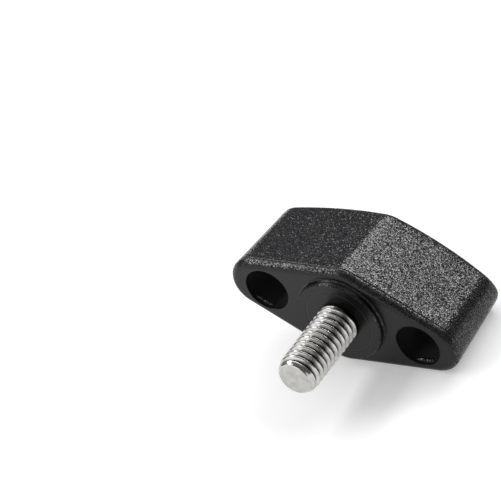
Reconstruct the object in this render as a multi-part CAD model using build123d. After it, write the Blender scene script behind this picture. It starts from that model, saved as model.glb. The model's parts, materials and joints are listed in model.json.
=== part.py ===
"""Wing screw: a moulded lozenge wing over the head of a stainless M6 screw, lying on one flank."""
from build123d import *
from math import asin, atan2, cos, degrees, hypot, radians, sin, tan
import os

os.makedirs("parts", exist_ok=True)

# The wing is drawn upright: its underside is z = 0, the screw's axis is Z and the tips are along X.
# Everything is turned at the end to lie as it comes to rest, so every size here is read off the upright part.

# --- plan of the wing, at the underside ---
wing_length = 35.0
wing_width = 16.2
tip_radius = 4.05
ridge_radius = 4.05
mould_draft = 3.8          # degrees the flanks lean in, underside to crown, so the wing leaves its mould
base_edge_radius = 1.0

# --- crown: two slopes that meet in an arched crest, tip to tip ---
crown_height = 16.85
crown_arch_radius = 51.0
crown_slope = 19.4         # degrees each slope falls from the crest
crest_radius = 1.2
crown_edge_radius = 1.0

# --- boss round the screw: the face that seats on the clamped part ---
boss_radius = 6.45
boss_height = 0.9
boss_chamfer = 0.3

# --- core-outs that keep the wall even in each arm of the wing ---
pocket_radius = 3.17
pocket_tip_wall = 2.75     # left between pocket and tip
pocket_flank_wall = 1.8    # left between pocket and flank, which puts two flats on the round core pin
pocket_depth = 11.5
pocket_draft = 1.5         # degrees, on the round of the pin: its flats lean with the flanks
pocket_mouth_depth = 0.5   # the mouth stays fully round this far in
pocket_flare = 0.12        # the mouth opens by this much, all round, at the underside

# --- M6 x 16 hexagon head screw, its head buried in the wing ---
thread_diameter = 6.0      # M6, over the crests
pitch_diameter = 5.35      # M6, half way down the thread: the moulding fills it inside the wing
screw_length = 16.0        # under the head
screw_reach = 12.0         # beyond the boss
screw_point = 0.6          # 45 degree chamfer on the free end
screw_relief = 0.1         # bevel in the boss round the screw, where the full thread starts
hex_across_flats = 10.0
hex_height = 4.0

half_length = wing_length / 2
half_width = wing_width / 2
thread_radius = thread_diameter / 2
pitch_radius = pitch_diameter / 2
hex_seat = screw_length - screw_reach - boss_height
pocket_offset = half_length - pocket_tip_wall - pocket_radius
on_base = (Align.CENTER, Align.CENTER, Align.MIN)
under_base = (Align.CENTER, Align.CENTER, Align.MAX)


def flank_angle():
    """Degrees between a flank and the wing's length, from the line that touches a tip and a ridge circle."""
    along = half_length - tip_radius
    across = half_width - ridge_radius
    return degrees(atan2(across, along) + asin((ridge_radius - tip_radius) / hypot(along, across)))


def flank_distance():
    """From the screw's axis square out to a flank, at the underside."""
    return (half_width - ridge_radius) * cos(radians(flank_angle())) + ridge_radius


def lozenge():
    """Plan of the wing: a rhombus with its tips and ridges rounded."""
    tip = flank_distance() / sin(radians(flank_angle()))
    ridge = flank_distance() / cos(radians(flank_angle()))
    rhombus = Polygon((tip, 0), (0, ridge), (-tip, 0), (0, -ridge), align=None)
    outline = fillet(rhombus.vertices().group_by(Axis.Y)[1], tip_radius)
    rows = outline.vertices().group_by(Axis.Y)
    return fillet(rows[0] + rows[-1], ridge_radius)


def looks_up(face):
    """Whether a face looks up more than it looks sideways."""
    normal = face.normal_at()
    return normal.Z > hypot(normal.X, normal.Y)


def patch_outline(faces):
    """Edges round a patch of faces, without those that two of its faces share."""
    edges = [edge for face in faces for edge in face.edges()]
    return ShapeList(e for e in edges if sum(e.is_same(other) for other in edges) == 1)


def crown_form():
    """Ring whose section is a gable, turned about a far axis: the crown is cut out of its rim."""
    centre = crown_height - crown_arch_radius
    eave = crown_height - half_width * tan(radians(crown_slope))
    gable = Polygon(
        (0, crown_height),
        (half_width, eave),
        (half_width, -wing_width),
        (-half_width, -wing_width),
        (-half_width, eave),
        align=None,
    )
    gable = fillet(gable.vertices().sort_by(Axis.Y)[-1], crest_radius)
    return revolve(Plane.YZ * gable, Axis((0, 0, centre), (0, 1, 0)))


def wing_blank():
    """Drafted lozenge under its gabled crown, with both rims rounded."""
    blank = extrude(lozenge(), amount=crown_height, taper=mould_draft) & crown_form()
    blank = fillet(patch_outline(blank.faces().filter_by(looks_up)), crown_edge_radius)
    return fillet(blank.faces().sort_by(Axis.Z)[0].edges(), base_edge_radius)


def boss():
    """Low round boss under the wing, its edge broken."""
    disc = Cylinder(boss_radius, boss_height, align=under_base)
    return chamfer(disc.edges().sort_by(Axis.Z)[0], boss_chamfer)


def pocket():
    """One core-out, as the pin that moulds it: tapered, with two flats, and full round at its flared mouth."""
    pin_length = pocket_depth - pocket_mouth_depth
    floor_radius = pocket_radius - pin_length * tan(radians(pocket_draft))
    pin = Pos(0, 0, pocket_mouth_depth) * Cone(pocket_radius, floor_radius, pin_length, align=on_base)
    flats = extrude(offset(lozenge(), -pocket_flank_wall), amount=pocket_depth, taper=mould_draft)
    mouth = Cone(pocket_radius + pocket_flare, pocket_radius, pocket_mouth_depth, align=on_base)
    return (flats & Pos(pocket_offset, 0) * pin) + Pos(pocket_offset, 0) * mouth


def screw():
    """M6 hexagon head screw, point down: plain at the size of its thread, and slimmer inside the wing."""
    tip = hex_seat - screw_length
    thread_start = screw_relief - boss_height
    shank = Polygon(
        (0, hex_seat),
        (pitch_radius, hex_seat),
        (pitch_radius, thread_start),
        (thread_radius, thread_start),
        (thread_radius, tip + screw_point),
        (thread_radius - screw_point, tip),
        (0, tip),
        align=None,
    )
    head = extrude(RegularPolygon(hex_across_flats / 2, 6, major_radius=False), amount=hex_height)
    return Pos(0, 0, hex_seat) * head + revolve(Plane.XZ * shank, Axis.Z)


def wing():
    """The moulding: wing, boss and core-outs, closed tight over the screw."""
    body = wing_blank() + boss() - pocket() - mirror(pocket(), Plane.YZ)
    bevel = Cone(thread_radius + screw_relief, thread_radius, screw_relief, align=on_base)
    return body - screw() - Pos(0, 0, -boss_height) * bevel


# Tip the wing onto the flank between its +X tip and +Y ridge: the screw then points along -Y and, by
# the draft, a little up. The origin is on the table, under the middle of what lies there.
upright = {"wing_head": wing(), "hex_screw": screw()}
tipped = Rot(-90 - mould_draft, 0, 0) * Rot(0, 0, flank_angle())
lying = {name: tipped * shape for name, shape in upright.items()}
extent = Compound(list(lying.values())).bounding_box()
to_table = Pos(-extent.center().X, -extent.center().Y, -extent.min.Z)

for name, shape in lying.items():
    export_step(to_table * shape, f"parts/{name}.step")
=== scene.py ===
"""Looks of a wing screw that lies on a flank: a black moulded wing over the head of a stainless M6 screw."""
import json
import math

import bmesh
import bpy
import numpy as np
from mathutils import Matrix, Vector


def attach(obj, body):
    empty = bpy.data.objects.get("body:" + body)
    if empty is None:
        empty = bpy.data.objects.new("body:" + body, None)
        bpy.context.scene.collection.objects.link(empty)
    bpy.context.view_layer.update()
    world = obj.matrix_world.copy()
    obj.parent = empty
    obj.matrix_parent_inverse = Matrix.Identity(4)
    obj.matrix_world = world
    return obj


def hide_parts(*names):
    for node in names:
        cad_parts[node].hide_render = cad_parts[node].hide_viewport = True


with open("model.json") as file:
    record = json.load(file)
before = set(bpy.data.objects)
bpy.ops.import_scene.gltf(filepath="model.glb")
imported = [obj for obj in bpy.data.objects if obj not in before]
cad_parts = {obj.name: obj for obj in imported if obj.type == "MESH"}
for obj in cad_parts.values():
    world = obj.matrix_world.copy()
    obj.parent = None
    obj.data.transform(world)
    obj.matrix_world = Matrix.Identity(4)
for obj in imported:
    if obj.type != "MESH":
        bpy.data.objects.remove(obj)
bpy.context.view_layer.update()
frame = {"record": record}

# --- How the piece lies ---------------------------------------------------------------------------------
# The wing screw is drawn upright in millimetres, as its mould stands: its underside is z = 0, the screw
# points down -Z and the tips are along X. Then it is laid on the flank between its +X tip and +Y ridge,
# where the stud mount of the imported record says.
MM = 0.001                          # metres
MOULD_DRAFT = math.radians(3.8)     # the flanks lean in by this much, so the wing leaves its mould
BOSS_HEIGHT = 0.9
TIP_RADIUS = 4.05                   # of the plan's four corners, at the underside
HALF_LENGTH = 17.498                # 2 microns inside the solid, as is the width
HALF_WIDTH = 8.098
TIP_CENTRE = HALF_LENGTH - TIP_RADIUS
RIDGE_CENTRE = HALF_WIDTH - TIP_RADIUS
FLANK_TURN = math.atan2(RIDGE_CENTRE, TIP_CENTRE)
MEETING = 5e-7                      # metres: points nearer than this are one
SLIVER = 1e-7                       # metres: an edge shorter than this is none
CRISP = math.radians(40)            # a sharper bend between two faces stays an edge

stud = next(mount for mount in frame["record"]["mounts"] if mount["name"] == "stud")
underside = Vector(stud["pos_m"]) - Vector(stud["axis"]) * BOSS_HEIGHT * MM
tipped = Matrix.Rotation(-math.pi / 2 - MOULD_DRAFT, 4, "X") @ Matrix.Rotation(FLANK_TURN, 4, "Z")
lying = Matrix.Translation(underside) @ tipped @ Matrix.Scale(MM, 4)


def piece_from_sheets(name, sheets):
    """Joins sheets into one mesh piece. A sheet is rows x columns x 4 numbers: a point in upright millimetres
    and its finish, which also carries painted light. Neighbouring points of a sheet make its faces, and
    materials read both as attributes."""
    points, faces, start = [], [], 0
    for sheet in sheets:
        rows, columns = sheet.shape[:2]
        corner = start + (np.arange(rows - 1)[:, None] * columns + np.arange(columns - 1)).ravel()
        faces.append(np.stack([corner, corner + 1, corner + columns + 1, corner + columns], axis=1))
        points.append(sheet.reshape(-1, 4))
        start += rows * columns
    points = np.concatenate(points)
    mesh = bpy.data.meshes.new(name)
    mesh.from_pydata(points[:, :3].tolist(), [], np.concatenate(faces).tolist())
    mesh.attributes.new("upright", "FLOAT_VECTOR", "POINT").data.foreach_set("vector", points[:, :3].ravel())
    mesh.attributes.new("finish_and_painted_light", "FLOAT", "POINT").data.foreach_set("value", points[:, 3].copy())
    mesh.transform(lying)
    piece = bpy.data.objects.new(name, mesh)
    bpy.context.scene.collection.objects.link(piece)
    return piece


def close_up(piece):
    """Merges sheets where they meet, fills the flat loops left open, turns faces out, keeps crisp edges."""
    work = bmesh.new()
    work.from_mesh(piece.data)
    bmesh.ops.remove_doubles(work, verts=work.verts, dist=MEETING)
    bmesh.ops.dissolve_degenerate(work, edges=work.edges, dist=SLIVER)
    open_edges = [edge for edge in work.edges if edge.is_boundary]
    if open_edges:
        bmesh.ops.triangle_fill(work, edges=open_edges, use_beauty=True)
    bmesh.ops.recalc_face_normals(work, faces=work.faces)
    work.to_mesh(piece.data)
    work.free()
    piece.data.shade_smooth()
    piece.data.set_sharp_from_angle(angle=CRISP)


# --- The screw ------------------------------------------------------------------------------------------
# A stainless M6 x 16 hexagon head screw, cold headed and thread rolled. The wing is moulded over its head
# and the first 4 mm of shank, and 12 mm of right-hand thread stands out of the boss, to a flat point with
# a rolled edge.
THREAD_RADIUS = 3.0
PITCH = 1.0
THREAD_DEPTH = 0.6134 * PITCH       # of a metric thread, crest to root
CREST_HALF = PITCH / 16             # half of the flat on a crest
HALF_GROOVE = math.radians(30)      # half of the angle between two flanks
CREST_ROUND = 0.07                  # the dies leave crests and roots rounded
ROOT_ROUND = 0.08
THREAD_PHASE = 0.35                 # at angle 0 the point is this many turns above a crest
PITCH_RADIUS = 2.675                # the shank inside the wing
SCREW_REACH = 12.0
SCREW_LENGTH = 16.0
POINT_CHAMFER = 0.6
CHAMFER_ROUND = 0.08                # where the thread runs out into the chamfer
ROLLED_EDGE = 0.3                   # how full the edge of the point is
ROLLED_IN = 0.05                    # and how far in it draws the flat face
ROLLED_ROUND = 0.04                 # where it meets the chamfer
HEX_HALF_FLATS = 5.0
HEX_HEIGHT = 4.0
BEVEL = 0.1                         # of the boss, round the screw
BURIED = 0.03                       # the thread starts this far inside the wing, so no gap shows
POINT = -BOSS_HEIGHT - SCREW_REACH
SEAT = POINT + SCREW_LENGTH
THREAD_START = BEVEL - BOSS_HEIGHT + BURIED
AROUND = 144                        # faces round the screw's axis
ROWS_PER_PITCH = 20
POINT_RINGS = (0, 0.5, 0.97, 1)     # shares of its radius: the third keeps the flat point's shading flat
SHEARED = 0.65                      # the point's finish, where a crest has 0 and a root has 1


def soft_min(a, b, blend):
    """The smaller of two values, rounded where they cross: half of their sum less the root of the squares of
    their gap and the blend."""
    return (a + b - np.hypot(a - b, blend)) / 2


def soft_max(a, b, blend):
    """The larger of two values, rounded where they cross."""
    return -soft_min(-a, -b, blend)


def thread_radius(angle, height):
    """Radius of the rolled thread: it falls from crest to root with the distance to the nearest crest."""
    turns = (height - POINT) / PITCH - angle / (2 * np.pi) + THREAD_PHASE
    from_crest = np.abs(turns - np.round(turns)) * PITCH
    flank = THREAD_RADIUS - (from_crest - CREST_HALF) / math.tan(HALF_GROOVE)
    crested = soft_min(flank, THREAD_RADIUS, CREST_ROUND)
    return soft_max(crested, THREAD_RADIUS - THREAD_DEPTH, ROOT_ROUND)


def ring_sheet(profile, finish_and_painted_light=0.0):
    """Rings about the screw's axis: row k is at radius r and height z of the profile's pair k, and r may
    change round the ring. The finish is one number, or one for each row."""
    angle = np.linspace(0, 2 * np.pi, AROUND + 1)
    rows = [np.stack(np.broadcast_arrays(r * np.cos(angle), r * np.sin(angle), z, f), axis=1)
            for (r, z), f in zip(profile, np.broadcast_to(finish_and_painted_light, len(profile)))]
    return np.stack(rows)


def thread_sheet():
    """Rows that climb one pitch a turn, from a pitch below the point, held between point and start. The
    radius is the least of the thread's, the chamfer's, which grows with the height over the point, and the
    rolled edge's, which grows with that height's root. The finish is the share of the thread's depth, which
    sets the painted root shade."""
    turns = math.ceil((THREAD_START - POINT) / PITCH) + 1
    climb = np.arange(turns * ROWS_PER_PITCH)[:, None] / ROWS_PER_PITCH - 1
    angle = np.linspace(0, 2 * np.pi, AROUND + 1)[None, :]
    height = np.clip(POINT + PITCH * (climb + angle / (2 * np.pi)), POINT, THREAD_START)
    over = height - POINT
    chamfer = THREAD_RADIUS - POINT_CHAMFER + over
    edge = THREAD_RADIUS - POINT_CHAMFER - ROLLED_IN + np.sqrt(np.clip(ROLLED_EDGE * over, 0, None))
    radius = soft_min(soft_min(thread_radius(angle, height), chamfer, CHAMFER_ROUND), edge, ROLLED_ROUND)
    depth = np.clip((THREAD_RADIUS - radius) / THREAD_DEPTH, 0, 1) * (height > POINT + POINT_CHAMFER)
    return np.stack([radius * np.cos(angle), radius * np.sin(angle), height, depth], axis=2)


def hexagon(angle):
    """A regular hexagon's radius for a half width of 1 across flats: one over the cosine from the middle of
    the nearest flat."""
    return 1 / np.cos((angle + np.pi / 6) % (np.pi / 3) - np.pi / 6)


head_radius = HEX_HALF_FLATS * hexagon(np.linspace(0, 2 * np.pi, AROUND + 1))
thread = thread_sheet()
point_radius = np.hypot(thread[0, :, 0], thread[0, :, 1])
start_radius = np.hypot(thread[-1, :, 0], thread[-1, :, 1])
head_profile = [
    (start_radius, THREAD_START),
    (PITCH_RADIUS, THREAD_START),
    (PITCH_RADIUS, SEAT),
    (head_radius, SEAT),
    (head_radius, SEAT + HEX_HEIGHT),
    (0, SEAT + HEX_HEIGHT),
]
screw = piece_from_sheets("threaded_screw", [
    ring_sheet([(share * point_radius, POINT) for share in POINT_RINGS], SHEARED),
    thread,
    ring_sheet(head_profile),
])
close_up(screw)

# Austenitic stainless steel, thread rolled: a bright, slightly warm mirror that the dies draw into rings,
# so that each crest is a clean line. Each root is painted dark, as painted shade. The sheared point is a
# little duller.
STEEL_RING = 0.25                   # mm: really 0.01, but this is the finest that shows
RING_DRAW = (0.12, 0.12, 1.0)       # the rings run round the screw, so they change slowly across it
STEEL_MOTTLE = 1.1                  # mm: soft patches where the blank was sheared and tumbled
NOISE_LOW = 0.35                    # a noise seldom leaves this range
NOISE_HIGH = 0.65
STEEL_SMOOTH = 0.18                 # roughness, from the smoothest ring
STEEL_WORN = 0.31                   # to the roughest
STEEL_DULL = "#b4b3b0"
STEEL_CLEAN = "#cac9c6"
STEEL_ROOT_PAINTED_SHADE = "#181716"              # painted shade, deep between two flanks
ROOT_SHADE_FROM = 0.6                     # shares of the thread's depth where the painted shade starts and is full
ROOT_SHADE_FULL = 0.9
FACTOR = 0                          # the sockets of a Mix node by number: its factor,
COLOUR_A = 6                        # the two colours that it mixes
COLOUR_B = 7
MIXED_COLOUR = 2                    # and its output for them


def linear(code):
    """An sRGB hex colour as the linear RGBA that shaders take. The sRGB curve is a line near black and a
    power of 2.4 above it."""
    steps = np.array([int(code[i:i + 2], 16) for i in (1, 3, 5)]) / 255
    low, high = steps / 12.92, ((steps + 0.055) / 1.055) ** 2.4
    return (*np.where(steps <= 0.04045, low, high).tolist(), 1.0)


def node(tree, kind, settings=None, inputs=None):
    """Adds a shader node: its settings are properties, and its inputs are values or other nodes' sockets."""
    made = tree.nodes.new(kind)
    for key, value in (settings or {}).items():
        setattr(made, key, value)
    for key, value in (inputs or {}).items():
        if isinstance(value, bpy.types.NodeSocket):
            tree.links.new(value, made.inputs[key])
        else:
            made.inputs[key].default_value = value
    return made


def new_material(name):
    """A material with an empty node tree, and that tree."""
    material = bpy.data.materials.new(name)
    material.use_nodes = True
    material.node_tree.nodes.clear()
    return material, material.node_tree


steel, tree = new_material("stainless_steel_thread_rolled")
upright = node(tree, "ShaderNodeAttribute", {"attribute_name": "upright"}).outputs["Vector"]
depth = node(tree, "ShaderNodeAttribute", {"attribute_name": "finish_and_painted_light"}).outputs["Fac"]
drawn = node(tree, "ShaderNodeVectorMath", {"operation": "MULTIPLY"}, {0: upright, 1: RING_DRAW})
rings = node(tree, "ShaderNodeTexNoise", inputs={
    "Vector": drawn.outputs[0], "Scale": 1 / STEEL_RING, "Detail": 2.0, "Roughness": 0.6})
mottle = node(tree, "ShaderNodeTexNoise", inputs={
    "Vector": upright, "Scale": 1 / STEEL_MOTTLE, "Detail": 4.0})
worn = node(tree, "ShaderNodeMapRange", inputs={
    "Value": rings.outputs["Fac"], "From Min": NOISE_LOW, "From Max": NOISE_HIGH,
    "To Min": STEEL_SMOOTH, "To Max": STEEL_WORN})
patch = node(tree, "ShaderNodeMapRange", inputs={
    "Value": mottle.outputs["Fac"], "From Min": NOISE_LOW, "From Max": NOISE_HIGH})
clean = node(tree, "ShaderNodeMix", {"data_type": "RGBA"}, {
    FACTOR: patch.outputs[0], COLOUR_A: linear(STEEL_DULL), COLOUR_B: linear(STEEL_CLEAN)})
# painted shade: the thread's roots are mixed towards a near-black
painted_root_shade = node(tree, "ShaderNodeMapRange", inputs={
    "Value": depth, "From Min": ROOT_SHADE_FROM, "From Max": ROOT_SHADE_FULL})
steel_tone_and_root_shade = node(tree, "ShaderNodeMix", {"data_type": "RGBA"}, {
    FACTOR: painted_root_shade.outputs[0], COLOUR_A: clean.outputs[MIXED_COLOUR], COLOUR_B: linear(STEEL_ROOT_PAINTED_SHADE)})
shine = node(tree, "ShaderNodeBsdfPrincipled", inputs={
    "Base Color": steel_tone_and_root_shade.outputs[MIXED_COLOUR], "Metallic": 1.0, "Roughness": worn.outputs[0]})
node(tree, "ShaderNodeOutputMaterial", inputs={"Surface": shine.outputs[0]})
screw.data.materials.append(steel)
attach(screw, "root")
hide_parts("hex_screw")

# --- The wing -------------------------------------------------------------------------------------------
# One injection moulding in black glass-filled polyamide, closed over the screw's head. Its flanks and crown
# come from the spark-eroded mould half and its smooth underside from the other. They part at the top of the
# base edge, where a fine groove runs all round.
LEAN_IN = math.tan(MOULD_DRAFT)     # of the flanks, for each mm of height
TIP_STEPS = 40                      # faces round a tip, round a ridge and along a side of the plan
RIDGE_STEPS = 14
SIDE_STEPS = 30
PLANE_MARGIN = 0.06                 # a flat rim outside each edge keeps the underside's shading flat
BASE_EDGE = 1.0                     # radius
BASE_ROWS = 13
GRAIN_FROM = -1.2                   # radians up the base edge, from -90 degrees: here the grain starts,
GRAIN_FADE = 0.35                   # and it is full this much further on
PARTING = BASE_EDGE * (1 + math.sin(MOULD_DRAFT))
GROOVE_RISE = 0.17                  # of its middle, over the parting height
GROOVE_WIDTH = 0.06
GROOVE_DEPTH = 0.065
GROOVE_LIP = 0.3                    # up to this rise the grain is worn to half
LIP_GRAIN = 0.5
GROOVE_TOP = 0.4
GROOVE_ROWS = 17
FLANK_START = 0.45                  # the flank's rows are spread from this rise up
FLANK_ROWS = 12
CROWN_HEIGHT = 16.845               # 5 microns inside the solid
CROWN_ARCH = 51.0                   # radius of the crest, from tip to tip
CROWN_SLOPE = math.radians(19.4)    # each slope falls from the crest by this much
CREST_RADIUS = 1.2
CROWN_EDGE = 1.0                    # radius
LOWEST_EDGE = 5.0                   # the crown's edge is higher than this everywhere
HALVINGS = 40                       # of the range that holds its height
SLOPE_STEP = 1e-4                   # mm, to measure how the crown leans
EDGE_ROWS = 10
CROWN_ROWS = 27
CREST_CROWDING = 1.8                # power: the crown's rows stand closer towards the crest
CREST_SHORTER = 0.08                # share by which the last row is shorter than the rim
ARCH_CENTRE = CROWN_HEIGHT - CROWN_ARCH
CREST_CENTRE = CROWN_ARCH - CREST_RADIUS / math.cos(CROWN_SLOPE)


def plan_walk():
    """Centres and outward directions round the plan: the direction turns at a corner, and the centre moves on
    a side."""
    tip_half = math.pi / 2 - FLANK_TURN
    corners = np.array([(TIP_CENTRE, 0), (0, RIDGE_CENTRE), (-TIP_CENTRE, 0), (0, -RIDGE_CENTRE)])
    centres, turns = [], []
    for k in range(4):
        middle, half, steps = k * math.pi / 2, tip_half, TIP_STEPS
        if k % 2:
            half, steps = math.pi / 2 - tip_half, RIDGE_STEPS
        turn = np.linspace(middle - half, middle + half, steps + 1)
        centres.append(np.repeat(corners[k][None], steps + 1, axis=0))
        turns.append(turn)
        share = np.linspace(0, 1, SIDE_STEPS + 1)[1:-1, None]
        centres.append(corners[k] * (1 - share) + corners[(k + 1) % 4] * share)
        turns.append(np.full(SIDE_STEPS - 1, turn[-1]))
    centres, turns = np.concatenate(centres), np.concatenate(turns)
    centres, turns = np.concatenate([centres, centres[:1]]), np.concatenate([turns, turns[:1]])
    return centres, np.stack([np.cos(turns), np.sin(turns)], axis=1)


def plan_row(walk, distance, height, grain):
    """Row of a sheet: points at a distance out from the walk's centres, at a height, with their grain."""
    centres, outward = walk
    plan = centres + outward * np.reshape(distance, (-1, 1))
    heights = np.ones((len(plan), 1)) * np.reshape(height, (-1, 1))
    grains = np.full((len(plan), 1), grain)
    return np.concatenate([plan, heights, grains], axis=1)


def base_rows(walk):
    """Rows up the base edge, a quarter round that touches the flank: out by its radius times the turn's
    cosine, and up by its radius times 1 plus the sine."""
    centre = TIP_RADIUS - LEAN_IN * BASE_EDGE - BASE_EDGE / math.cos(MOULD_DRAFT)
    rows = [plan_row(walk, centre - PLANE_MARGIN, 0, 0)]
    for turn in np.linspace(-math.pi / 2, MOULD_DRAFT, BASE_ROWS):
        height = BASE_EDGE * (1 + math.sin(turn))
        grain = np.clip((turn - GRAIN_FROM) / GRAIN_FADE, 0, 1)
        rows.append(plan_row(walk, centre + BASE_EDGE * math.cos(turn), height, grain))
    return rows


def bell(offset, width):
    """A bell curve, 1 at its middle: e to minus the square of the offset over the width."""
    return math.exp(-(offset / width) ** 2)


def parting_rows(walk):
    """Rows over the parting line's groove: the flank's distance less a bell curve of the rise."""
    rows = []
    for rise in np.linspace(0.0, GROOVE_TOP, GROOVE_ROWS)[1:]:
        groove = GROOVE_DEPTH * bell(rise - GROOVE_RISE, GROOVE_WIDTH)
        height = PARTING + rise
        grain = LIP_GRAIN if rise < GROOVE_LIP else 1
        rows.append(plan_row(walk, TIP_RADIUS - height * LEAN_IN - groove, height, grain))
    return rows


def crown_depth(x, y, z):
    """Distance above the crown, negative below it: the gable's slopes and round crest, turned about the far
    axis of the arch."""
    reach = np.hypot(x, z - ARCH_CENTRE)
    slope = (reach - CROWN_ARCH) * math.cos(CROWN_SLOPE) + np.abs(y) * math.sin(CROWN_SLOPE)
    crest = np.hypot(y, reach - CREST_CENTRE) - CREST_RADIUS
    on_crest = np.abs(y) < (reach - CREST_CENTRE) * math.tan(CROWN_SLOPE)
    return np.where(on_crest, crest, slope)


def crown_height(x, y):
    """Height of the crown over a plan point: out to the gable's reach at y, less the arch's fall at x."""
    round_half = CREST_RADIUS * math.sin(CROWN_SLOPE)
    crest = CREST_CENTRE + np.sqrt(np.clip(CREST_RADIUS ** 2 - y ** 2, 0, None))
    reach = np.where(np.abs(y) < round_half, crest, CROWN_ARCH - np.abs(y) * math.tan(CROWN_SLOPE))
    return ARCH_CENTRE + np.sqrt(reach ** 2 - x ** 2)


def edge_balls(walk):
    """Centres of the ball that rolls round the crown's edge. It touches the flank, and the range of its
    height is halved until it touches the crown too."""
    centres, outward = walk
    low, high = np.full(len(centres), LOWEST_EDGE), np.full(len(centres), CROWN_HEIGHT)
    inset = CROWN_EDGE / math.cos(MOULD_DRAFT)
    for _ in range(HALVINGS):
        middle = (low + high) / 2
        plan = centres + outward * (TIP_RADIUS - middle * LEAN_IN - inset)[:, None]
        above = crown_depth(plan[:, 0], plan[:, 1], middle) > -CROWN_EDGE
        low, high = np.where(above, low, middle), np.where(above, middle, high)
    return np.concatenate([plan, middle[:, None]], axis=1)


def flank_rows(walk, ball):
    """Rows up the drafted flank, evenly from the parting line to where the ball touches it."""
    top = ball[:, 2] + CROWN_EDGE * math.sin(MOULD_DRAFT)
    rows = []
    for share in np.linspace(0, 1, FLANK_ROWS)[1:]:
        height = (PARTING + FLANK_START) * (1 - share) + top * share
        rows.append(plan_row(walk, TIP_RADIUS - height * LEAN_IN, height, 1))
    return rows


def edge_rows(walk, ball):
    """Rows round the crown's edge: the ball's radius along a direction that swings evenly from square to the
    flank to square to the crown. That one is how the crown's depth changes over a small step on each axis."""
    outward = walk[1]
    lift = np.full((len(outward), 1), math.sin(MOULD_DRAFT))
    side = np.concatenate([outward * math.cos(MOULD_DRAFT), lift], axis=1)
    up = np.stack([crown_depth(*(ball + step).T) - crown_depth(*(ball - step).T)
                   for step in SLOPE_STEP * np.eye(3)], axis=1)
    up /= np.linalg.norm(up, axis=1, keepdims=True)
    opening = np.arccos(np.clip((side * up).sum(axis=1), -1, 1))[:, None]
    rows = []
    for share in np.linspace(0, 1, EDGE_ROWS)[1:]:
        swung = (side * np.sin((1 - share) * opening) + up * np.sin(share * opening)) / np.sin(opening)
        edge = ball + CROWN_EDGE * swung
        rows.append(np.concatenate([edge, np.ones((len(edge), 1))], axis=1))
    return rows


def crown_rows(rim):
    """Rows from the rim to the crest: y shrinks to nothing and x a little, and z is the crown's height."""
    rows = []
    for share in np.linspace(0, 1, CROWN_ROWS)[1:]:
        left = (1 - share) ** CREST_CROWDING
        x = rim[:, 0] * (1 - CREST_SHORTER * (1 - left))
        y = rim[:, 1] * left
        rows.append(np.stack([x, y, crown_height(x, y), np.ones(len(x))], axis=1))
    return rows


def outer_sheet():
    """Profile carried round the plan: base edge, parting line, drafted flank, crown's edge and crown."""
    walk = plan_walk()
    ball = edge_balls(walk)
    edge = edge_rows(walk, ball)
    below = base_rows(walk) + parting_rows(walk) + flank_rows(walk, ball)
    return np.stack(below + edge + crown_rows(edge[-1]))


# The boss seats on the clamped part. It has a flared foot and a fine bevelled rim, both with a trace of the
# eroded grain, and a faint ring that the mould's insert leaves in its face.
BOSS_RADIUS = 6.45
BOSS_FOOT = 0.3                     # radius of the flare
FOOT_ROWS = 9
BOSS_BEVEL = 0.18                   # inwards
BOSS_BEVEL_RISE = 0.20
BEVEL_EASE = 0.02                   # the bevel starts this far inside the wall,
BEVEL_EASE_RISE = 0.07              # which ends this far above it
HOLD = 0.05                         # a row this close beside an edge keeps the face's shading flat
RING_MARK = 5.0                     # radius
RING_MARK_HEIGHT = 0.035
RING_MARK_WIDTH = 0.07
RING_MARK_SPAN = 0.2                # it is gone this far to each side
RING_MARK_ROWS = 13


def arc(centre, radius, start, end, steps):
    """Points of a profile on a round corner, as (radius, height) pairs, from a start to an end angle in
    degrees."""
    turns = np.radians(np.linspace(start, end, steps))
    return [(centre[0] + radius * math.cos(t), centre[1] + radius * math.sin(t)) for t in turns]


def boss_sheet():
    """Rings from the underside over the boss's foot, rim and face, where the mark is a bell curve of the
    offset from its radius, and on into the seat of the screw."""
    face = -BOSS_HEIGHT
    foot = arc((BOSS_RADIUS + BOSS_FOOT, -BOSS_FOOT), BOSS_FOOT, 90, 180, FOOT_ROWS)
    mark = [(RING_MARK + offset, face + RING_MARK_HEIGHT * bell(offset, RING_MARK_WIDTH))
            for offset in np.linspace(RING_MARK_SPAN, -RING_MARK_SPAN, RING_MARK_ROWS)]
    profile = [
        (BOSS_RADIUS + BOSS_FOOT + PLANE_MARGIN, 0),
        *foot,
        (BOSS_RADIUS, face + BOSS_BEVEL_RISE + BEVEL_EASE_RISE),
        (BOSS_RADIUS - BEVEL_EASE, face + BOSS_BEVEL_RISE),
        (BOSS_RADIUS - BOSS_BEVEL, face),
        (BOSS_RADIUS - BOSS_BEVEL - HOLD, face),
        *mark,
        (THREAD_RADIUS + BEVEL + HOLD, face),
        (THREAD_RADIUS + BEVEL, face),
        (THREAD_RADIUS, face + BEVEL),
        (PITCH_RADIUS, face + BEVEL),
        (PITCH_RADIUS, SEAT),
        (head_radius, SEAT),
        (head_radius, SEAT + HEX_HEIGHT),
        (0, SEAT + HEX_HEIGHT),
    ]
    middle_of_foot = slice(FOOT_ROWS // 2, FOOT_ROWS // 2 + 3)
    both_ends_of_bevel = slice(FOOT_ROWS + 2, FOOT_ROWS + 4)
    finish_and_painted_light = np.zeros(len(profile))
    finish_and_painted_light[middle_of_foot] = 1
    finish_and_painted_light[both_ends_of_bevel] = 1
    return ring_sheet(profile, finish_and_painted_light)


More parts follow.
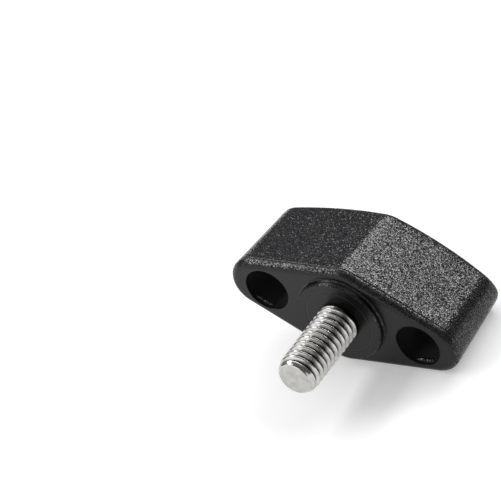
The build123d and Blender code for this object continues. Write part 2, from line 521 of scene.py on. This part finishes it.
# A core-out in each arm keeps the wall even. Its round pin has two flats, so that the wall to each flank is
# even too, and where the flats start in the round mouth they leave a narrow ledge on each side.
POCKET_RADIUS = 3.17
POCKET_TIP_WALL = 2.75
POCKET_FLANK_WALL = 1.8
POCKET_DEPTH = 11.5
POCKET_DRAFT = math.radians(1.5)
POCKET_MOUTH = 0.5                  # the mouth stays round up to this height
POCKET_FLARE = 0.12
POCKET_LIP = 0.1                    # radius over the rim of the mouth
LIP_ROWS = 6
POCKET_FLOOR = 0.6                  # radius between wall and floor
FLOOR_ROWS = 7
MOUTH_HOLD = 0.03                   # the mouth's last row stands this far under its ledges
LEDGE_BEVEL = 0.13                  # a ledge's bevel starts this far out from the wall
LEDGE_BEVEL_END = 0.01              # and ends this far out from it,
LEDGE_BEVEL_RISE = 0.12             # this much higher
LEDGE_SEEN = 0.1                    # a ledge narrower than this has no bright bevel
BURR = 0.02                         # its edge is ragged by this much: the product of two sine waves
BURR_WAVES = (37, 23)               # with so many crests round the mouth,
BURR_PHASE = 1                      # the second this many radians ahead
PIN_START = 0.4                     # the plain wall starts this far above the ledges
PIN_ROWS = 8
FLATS_ROUND = 0.01                  # how the pin's corners are eased: between its flats,
LEDGE_ROUND = 0.03                  # from a flat to the round at the ledges,
PIN_ROUND = 0.05                    # and from a flat to the round above them
LEAST_COSINE = 1e-3                 # a flat more edge on than this is out of reach
CORE_PAINTED_LIGHT = 0.2                   # painted light: the wall's finish is minus this at the underside, and falls by this for each mm of height, down to -1, so the wall is painted paler deeper in
CORE_PAINTED_LIGHT_RISE = 0.2              # this for each mm of height, down to -1


def pocket_sheet(side):
    """Rings from a round flared mouth over two lens-shaped ledges, up a tapered pin with two flats, to its
    floor."""
    offset = HALF_LENGTH - POCKET_TIP_WALL - POCKET_RADIUS
    angle = np.linspace(0, 2 * np.pi, AROUND + 1)
    outer_wall = RIDGE_CENTRE * math.cos(FLANK_TURN) + TIP_RADIUS
    flank = outer_wall - POCKET_FLANK_WALL - offset * math.sin(FLANK_TURN)
    square_on = math.pi / 2 - FLANK_TURN

    def bore(height, ease):
        """Radius at a height: the nearer of the pin's round and its two flats, with corners eased."""
        pin = POCKET_RADIUS - (height - POCKET_MOUTH) * math.tan(POCKET_DRAFT)
        flat = flank - height * LEAN_IN
        near, far = [flat / np.clip(np.cos(angle - toward), LEAST_COSINE, None)
                     for toward in (square_on, -square_on)]
        return soft_min(soft_min(near, far, FLATS_ROUND), pin, ease)

    rim = POCKET_RADIUS + POCKET_FLARE + POCKET_LIP
    top = POCKET_DEPTH - POCKET_FLOOR
    burr = BURR * np.sin(BURR_WAVES[0] * angle) * np.sin(BURR_WAVES[1] * angle + BURR_PHASE)
    ledge = bore(POCKET_MOUTH, LEDGE_ROUND)
    mouth = [
        (rim + PLANE_MARGIN, 0),
        *arc((rim, POCKET_LIP), POCKET_LIP, -90, -180, LIP_ROWS),
        (POCKET_RADIUS, POCKET_MOUTH - MOUTH_HOLD),
    ]
    bevel = [
        (np.minimum(ledge + LEDGE_BEVEL + burr, POCKET_RADIUS), POCKET_MOUTH),
        (ledge + LEDGE_BEVEL_END, POCKET_MOUTH + LEDGE_BEVEL_RISE),
    ]
    wall = [(bore(height, PIN_ROUND), height)
            for height in np.linspace(POCKET_MOUTH + PIN_START, top, PIN_ROWS)]
    corner = arc((bore(top, PIN_ROUND) - POCKET_FLOOR, top), POCKET_FLOOR, 0, 90, FLOOR_ROWS)[1:]
    sheet = ring_sheet(mouth + bevel + wall + corner + [(0, POCKET_DEPTH)])
    inside_rows = slice(len(mouth) - 1, None)
    bevel_rows = slice(len(mouth), len(mouth) + len(bevel))
    # painted light: the walls inside get a negative finish, which paints them paler deeper in
    sheet[inside_rows, :, 3] = -np.clip(CORE_PAINTED_LIGHT + CORE_PAINTED_LIGHT_RISE * sheet[inside_rows, :, 2], 0, 1)
    sheet[bevel_rows, ledge < POCKET_RADIUS - LEDGE_SEEN, 3] = 1
    sheet[:, :, 0] = side * (offset + sheet[:, :, 0])
    return sheet


wing = piece_from_sheets("moulded_wing", [outer_sheet(), boss_sheet(), pocket_sheet(1), pocket_sheet(-1)])
close_up(wing)

# Glass-filled polyamide, moulded: black with a thin gloss. The spark-eroded half leaves shallow craters,
# each with its own small tilt and gloss, so the grained skin glitters like fine salt, and the underside from
# the smooth half stays satin.
CRATER = 0.12                       # mm across: the real ones are finer, but this is the least that shows
CRATER_TILT = 0.78                  # how far a crater leans
RANDOM_MIDDLE = (0.5, 0.5, 0.5)     # of a cell's random colour, so that craters lean every way
FLECK = 0.10                        # mm: patches of even gloss, higher where glass lies close under the skin
FLECK_RARITY = 2.6                  # power: only a few flecks are glossy
FIBRE_RARITY = 1.6                  # power: not many flecks are pale
SATIN_LEVEL = 0.27                  # specular level of the smooth underside
SATIN_ROUGHNESS = 0.3
GRAIN_ROUGHNESS = 0.14              # within one crater
NYLON_IOR = 1.53
NYLON_BLACK = "#070708"
FIBRE_GREY = "#404042"
PAINTED_CORE_LIGHT_GREY = "#4a4a4c"               # painted light: a paler grey deep in a core-out, where little light reaches the wall
VALUE_A = 2                         # a Mix node's sockets for two values, and its output for them
VALUE_B = 3
MIXED_VALUE = 0
nylon, tree = new_material("glass_filled_polyamide_moulded")
upright = node(tree, "ShaderNodeAttribute", {"attribute_name": "upright"}).outputs["Vector"]
finish_and_painted_light = node(tree, "ShaderNodeAttribute", {"attribute_name": "finish_and_painted_light"}).outputs["Fac"]
grained = node(tree, "ShaderNodeMath", {"operation": "MAXIMUM"}, {0: finish_and_painted_light, 1: 0.0}).outputs[0]
# painted light: a negative finish selects the core-outs' walls
painted_core_light = node(tree, "ShaderNodeMapRange", inputs={"Value": finish_and_painted_light, "From Min": 0.0, "From Max": -1.0})
craters = node(tree, "ShaderNodeTexVoronoi", inputs={"Vector": upright, "Scale": 1 / CRATER})
tilt = node(tree, "ShaderNodeVectorMath", {"operation": "SUBTRACT"}, {
    0: craters.outputs["Color"], 1: RANDOM_MIDDLE})
steep = node(tree, "ShaderNodeVectorMath", {"operation": "DOT_PRODUCT"}, {
    0: tilt.outputs[0], 1: tilt.outputs[0]})
share = node(tree, "ShaderNodeMath", {"operation": "MULTIPLY"}, {0: steep.outputs["Value"], 1: grained})
amount = node(tree, "ShaderNodeMath", {"operation": "MULTIPLY"}, {0: share.outputs[0], 1: CRATER_TILT})
slope = node(tree, "ShaderNodeVectorMath", {"operation": "SCALE"}, {
    0: tilt.outputs[0], "Scale": amount.outputs[0]})
normal = node(tree, "ShaderNodeNewGeometry").outputs["Normal"]
leaning = node(tree, "ShaderNodeVectorMath", {"operation": "ADD"}, {0: normal, 1: slope.outputs[0]})
facet = node(tree, "ShaderNodeVectorMath", {"operation": "NORMALIZE"}, {0: leaning.outputs[0]})
flecks = node(tree, "ShaderNodeTexVoronoi", inputs={"Vector": upright, "Scale": 1 / FLECK})
chance = node(tree, "ShaderNodeSeparateColor", inputs={0: flecks.outputs["Color"]})
rare = node(tree, "ShaderNodeMath", {"operation": "POWER"}, {0: chance.outputs[0], 1: FLECK_RARITY})
level = node(tree, "ShaderNodeMix", inputs={
    FACTOR: grained, VALUE_A: SATIN_LEVEL, VALUE_B: rare.outputs[0]})
polish = node(tree, "ShaderNodeMix", inputs={
    FACTOR: grained, VALUE_A: SATIN_ROUGHNESS, VALUE_B: GRAIN_ROUGHNESS})
sparse = node(tree, "ShaderNodeMath", {"operation": "POWER"}, {0: chance.outputs[1], 1: FIBRE_RARITY})
speckle = node(tree, "ShaderNodeMath", {"operation": "MULTIPLY"}, {0: sparse.outputs[0], 1: grained})
fibre = node(tree, "ShaderNodeMix", {"data_type": "RGBA"}, {
    FACTOR: speckle.outputs[0], COLOUR_A: linear(NYLON_BLACK), COLOUR_B: linear(FIBRE_GREY)})
# painted light: the core-outs' walls are mixed towards a paler grey
base_and_painted_light = node(tree, "ShaderNodeMix", {"data_type": "RGBA"}, {
    FACTOR: painted_core_light.outputs[0], COLOUR_A: fibre.outputs[MIXED_COLOUR], COLOUR_B: linear(PAINTED_CORE_LIGHT_GREY)})
plastic = node(tree, "ShaderNodeBsdfPrincipled", inputs={
    "Base Color": base_and_painted_light.outputs[MIXED_COLOUR], "Roughness": polish.outputs[MIXED_VALUE], "IOR": NYLON_IOR,
    "Specular IOR Level": level.outputs[MIXED_VALUE], "Normal": facet.outputs[0]})
node(tree, "ShaderNodeOutputMaterial", inputs={"Surface": plastic.outputs[0]})
wing.data.materials.append(nylon)
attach(wing, "root")
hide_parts("wing_head")

# --- Floor ----------------------------------------------------------------------------------------------
# A sweep of matt white paper. It also glows a little, but only to the camera, in gloss and through glass, so
# that it shows white there with no more light on the piece.
FLOOR_HALF = 3                      # metres
PAPER_WHITE = "#e8e8e8"
PAPER_GLOW = 0.36
floor_corners = [(-FLOOR_HALF, -FLOOR_HALF, 0), (FLOOR_HALF, -FLOOR_HALF, 0),
                 (FLOOR_HALF, FLOOR_HALF, 0), (-FLOOR_HALF, FLOOR_HALF, 0)]
floor_mesh = bpy.data.meshes.new("floor")
floor_mesh.from_pydata(floor_corners, [], [(0, 1, 2, 3)])
floor = bpy.data.objects.new("floor", floor_mesh)
bpy.context.scene.collection.objects.link(floor)
paper, tree = new_material("white_paper_sweep")
ray = node(tree, "ShaderNodeLightPath")
bright = node(tree, "ShaderNodeMath", {"operation": "MAXIMUM"}, {
    0: ray.outputs["Is Camera Ray"], 1: ray.outputs["Is Glossy Ray"]})
seen = node(tree, "ShaderNodeMath", {"operation": "MAXIMUM"}, {
    0: bright.outputs[0], 1: ray.outputs["Is Transmission Ray"]})
matt = node(tree, "ShaderNodeBsdfDiffuse", inputs={"Color": linear(PAPER_WHITE)})
glow = node(tree, "ShaderNodeEmission", inputs={"Color": linear("#ffffff"), "Strength": PAPER_GLOW})
none = node(tree, "ShaderNodeEmission", inputs={"Color": linear("#000000"), "Strength": 0.0})
pick = node(tree, "ShaderNodeMixShader", inputs={0: seen.outputs[0], 1: none.outputs[0], 2: glow.outputs[0]})
total = node(tree, "ShaderNodeAddShader", inputs={0: matt.outputs[0], 1: pick.outputs[0]})
node(tree, "ShaderNodeOutputMaterial", inputs={"Surface": total.outputs[0]})
floor_mesh.materials.append(paper)

# --- Light ----------------------------------------------------------------------------------------------
# Four soft boxes in a dim room. Seen from the camera, a narrow one behind lights the right flank, a wide
# one overhead the thread's crests, a strip on the left the base edge, and a low one in front the thread's
# flanks.
BOX_DISTANCE = 0.6                  # metres from the piece, behind and in front
ROOM_LIGHT = 0.13                   # radiance, from all round


def direction(azimuth, elevation):
    """Unit vector at an azimuth, from +Y towards +X, and an elevation, in degrees."""
    a, e = math.radians(azimuth), math.radians(elevation)
    return Vector((math.sin(a) * math.cos(e), math.cos(a) * math.cos(e), math.sin(e)))


def soft_box(name, centre, toward, width, height, radiance):
    """Area lamp at a centre that faces a point, in metres; its watts are radiance times pi times its area."""
    lamp = bpy.data.lights.new(name, "AREA")
    lamp.shape = "RECTANGLE"
    lamp.size = width
    lamp.size_y = height
    lamp.energy = radiance * math.pi * width * height
    placed = bpy.data.objects.new(name, lamp)
    out = Vector(centre) - Vector(toward)
    placed.matrix_world = Matrix.Translation(centre) @ out.to_track_quat("Z", "Y").to_matrix().to_4x4()
    bpy.context.scene.collection.objects.link(placed)


soft_box("soft_box_back", centre=direction(azimuth=5, elevation=42) * BOX_DISTANCE, toward=(0, 0, 0),
         width=0.70, height=0.13, radiance=7.6)
soft_box("soft_box_top", centre=(-0.20, 0.40, 0.70), toward=(-0.20, 0.40, 0),
         width=1.50, height=0.80, radiance=0.8)
soft_box("strip_box_left", centre=(-0.49, -0.10, 0.58), toward=(-0.49, -0.10, 0),
         width=0.24, height=1.00, radiance=5.8)
soft_box("soft_box_front", centre=direction(azimuth=207, elevation=15) * BOX_DISTANCE, toward=(0, 0, 0),
         width=0.70, height=0.30, radiance=1.3)

world = bpy.data.worlds.new("studio")
bpy.context.scene.world = world
world.use_nodes = True
room = world.node_tree.nodes["Background"]
room.inputs["Color"].default_value = (1, 1, 1, 1)
room.inputs["Strength"].default_value = ROOM_LIGHT

# --- Camera ---------------------------------------------------------------------------------------------
# A long lens looks down on the boss and the thread from between +X and -Y. It is turned about its line of
# sight, so that the wing rises to the left.
LENS = 289.15                       # mm, on a 36 mm sensor
NEAREST = 0.01                      # metres, as are the distance and the aim
DISTANCE = 0.54641
AIM = Vector((-0.014171, 0.001607, 0.015181))
ROLL = math.radians(-23.87)
camera_data = bpy.data.cameras.new("camera")
camera_data.lens = LENS
camera_data.clip_start = NEAREST
camera = bpy.data.objects.new("camera", camera_data)
away = direction(azimuth=134.954, elevation=36.328)
unturned = away.to_track_quat("Z", "Y").to_matrix().to_4x4()
camera.matrix_world = Matrix.Translation(AIM + away * DISTANCE) @ unturned @ Matrix.Rotation(ROLL, 4, "Z")
bpy.context.scene.collection.objects.link(camera)
bpy.context.scene.camera = camera
bpy.context.scene.view_settings.view_transform = "Standard"
